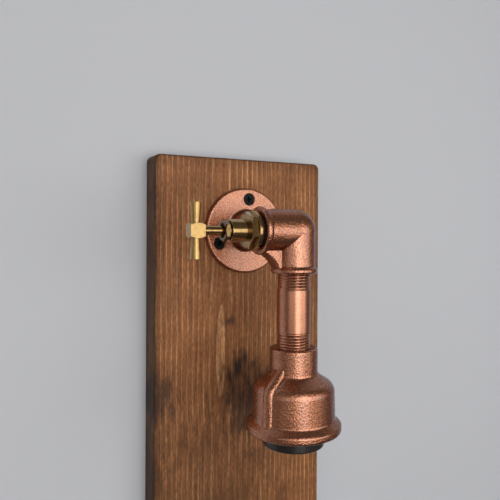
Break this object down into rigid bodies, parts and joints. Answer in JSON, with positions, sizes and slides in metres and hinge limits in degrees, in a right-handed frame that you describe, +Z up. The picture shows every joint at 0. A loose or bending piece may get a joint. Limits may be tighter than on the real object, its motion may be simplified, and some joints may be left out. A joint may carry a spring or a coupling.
{
  "type": "wall lamp",
  "caption": "Wall lamp on a wooden board: a flange and threaded pipe carry a corner elbow with a brass tap handle on its side and a bell-shaped lamp socket that points down.",
  "frame": {"origin": "centre of the board's back face, on the wall", "axes": "+X right as seen from the room, +Y into the wall, +Z up"},
  "size_m": [0.1406, 0.1243, 0.3],
  "materials": {
    "stained_pine": "stained and waxed pine",
    "copper_paint": "metallic copper paint on cast iron and steel pipe",
    "black_screw": "black phosphate steel",
    "brass": "turned brass, polished",
    "zinc_steel": "zinc-plated steel",
    "fibre": "vulcanised fibre",
    "packing": "graphite packing",
    "rubber": "black rubber",
    "bakelite": "black moulded bakelite",
    "ceramic": "unglazed white ceramic",
    "nickel": "nickel-plated sleeve",
    "brown_insulation": "brown wire insulation",
    "blue_insulation": "blue wire insulation",
    "green_insulation": "green and yellow wire insulation",
    "block_plastic": "natural polyamide"
  },
  "bodies": {
    "lamp": {"back_board": "stained_pine", "hanger_plates": "zinc_steel", "hanger_screws": "zinc_steel", "floor_flange": "copper_paint", "flange_screws": "black_screw", "rear_nipple": "copper_paint", "corner_elbow": "copper_paint", "drop_nipple": "copper_paint", "reducing_socket": "copper_paint", "bonnet_washer": "fibre", "tap_bonnet": "brass", "gland_nut": "brass", "gland_packing": "packing", "adapter_bush": "brass", "earth_tag": "zinc_steel", "holder_locknut": "zinc_steel", "holder_tube": "zinc_steel", "holder_washer": "zinc_steel", "holder_cap": "bakelite", "holder_insert": "ceramic", "holder_terminals": "brass", "holder_terminal_screws": "zinc_steel", "thread_sleeve": "nickel", "centre_contact": "brass", "holder_skirt": "bakelite", "live_wire": "brown_insulation", "neutral_wire": "blue_insulation", "earth_wire": "green_insulation", "terminal_block": "block_plastic", "block_clamp_screws": "zinc_steel", "block_fixing_screws": "zinc_steel"},
    "jumper": {"tap_jumper": "brass", "jumper_washer": "rubber", "jumper_nut": "brass"},
    "spindle": {"tap_spindle": "brass", "tap_handle": "brass", "handle_screw": "zinc_steel"}
  },
  "joints": [
    {"name": "jumper_slide", "type": "slide", "parent": "lamp", "child": "jumper", "axis": [-1, 0, 0], "range_m": [0, 0.0045]},
    {"name": "spindle_turn", "type": "hinge", "parent": "jumper", "child": "spindle", "pos_m": [-0.05, -0.094, 0.096], "axis": [-1, 0, 0], "range_deg": [0, 810.1]}
  ],
  "couplings": [
    {"joint": "spindle_turn", "follows": "jumper_slide", "rad_per_m": 3141.6}
  ]
}
